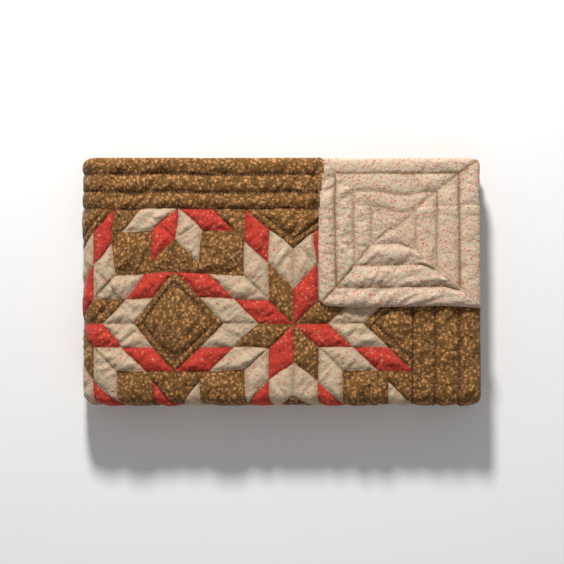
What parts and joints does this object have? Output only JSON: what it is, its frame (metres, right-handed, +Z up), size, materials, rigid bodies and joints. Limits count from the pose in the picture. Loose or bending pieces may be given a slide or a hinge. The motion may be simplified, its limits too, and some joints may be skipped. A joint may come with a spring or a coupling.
{
  "type": "folded patchwork quilt",
  "caption": "Folded patchwork throw quilt of star blocks in red, brown and cream, eight leaves thick, with one corner turned down to show the backing.",
  "frame": {"origin": "under the middle of the folded bundle, on the surface that it lies on", "axes": "+X along the long side, away from the side fold, +Y towards the sewn end edge, +Z up"},
  "size_m": [0.597, 0.372, 0.086],
  "materials": {
    "red_patches": "red quilting cotton with a small pale print",
    "brown_patches": "brown quilting cotton with a dense tan leaf print",
    "cream_patches": "cream quilting cotton with a sparse pink print",
    "border_cloth": "brown quilting cotton with a dense tan leaf print, quilted in channels",
    "backing_cloth": "cream quilting cotton with a red and pink print",
    "batting": "bonded cotton and polyester wadding",
    "quilting_thread": "matt brown cotton thread"
  },
  "bodies": {
    "lower_half": {"lower_batting": "batting", "lower_backing": "backing_cloth", "lower_pieced_top": "brown_patches", "side_fold_batting": "batting", "side_fold_backing": "backing_cloth", "side_fold_pieced_top": "brown_patches"},
    "upper_half": {"upper_batting": "batting", "upper_backing": "backing_cloth", "upper_inner_pieced_top": "brown_patches", "star_points_red": "red_patches", "star_points_brown": "brown_patches", "outer_diamonds_red": "red_patches", "cream_diamonds_left": "cream_patches", "cream_diamonds_right": "cream_patches", "setting_squares": "brown_patches", "corner_squares": "brown_patches", "small_star_red": "red_patches", "small_star_cream": "cream_patches", "end_border": "border_cloth", "side_border": "border_cloth", "border_quilting_thread": "quilting_thread", "corner_fold_batting": "batting", "corner_fold_backing": "backing_cloth", "corner_fold_pieced_top": "border_cloth"},
    "turned_corner": {"turned_corner_batting": "batting", "turned_corner_backing": "backing_cloth", "turned_corner_pieced_top": "border_cloth"}
  },
  "joints": [
    {"name": "book_fold", "type": "hinge", "parent": "lower_half", "child": "upper_half", "pos_m": [-0.27558, 0, 0.0382], "axis": [0, -1, 0], "range_deg": [0, 178], "deforming": ["side_fold_pieced_top", "side_fold_batting", "side_fold_backing"]},
    {"name": "corner_turnback", "type": "hinge", "parent": "upper_half", "child": "turned_corner", "pos_m": [0.05951, 0.18185, 0.0766], "axis": [-0.7208, 0.6932, 0], "range_deg": [0, 180], "deforming": ["corner_fold_pieced_top", "corner_fold_batting", "corner_fold_backing"]}
  ]
}
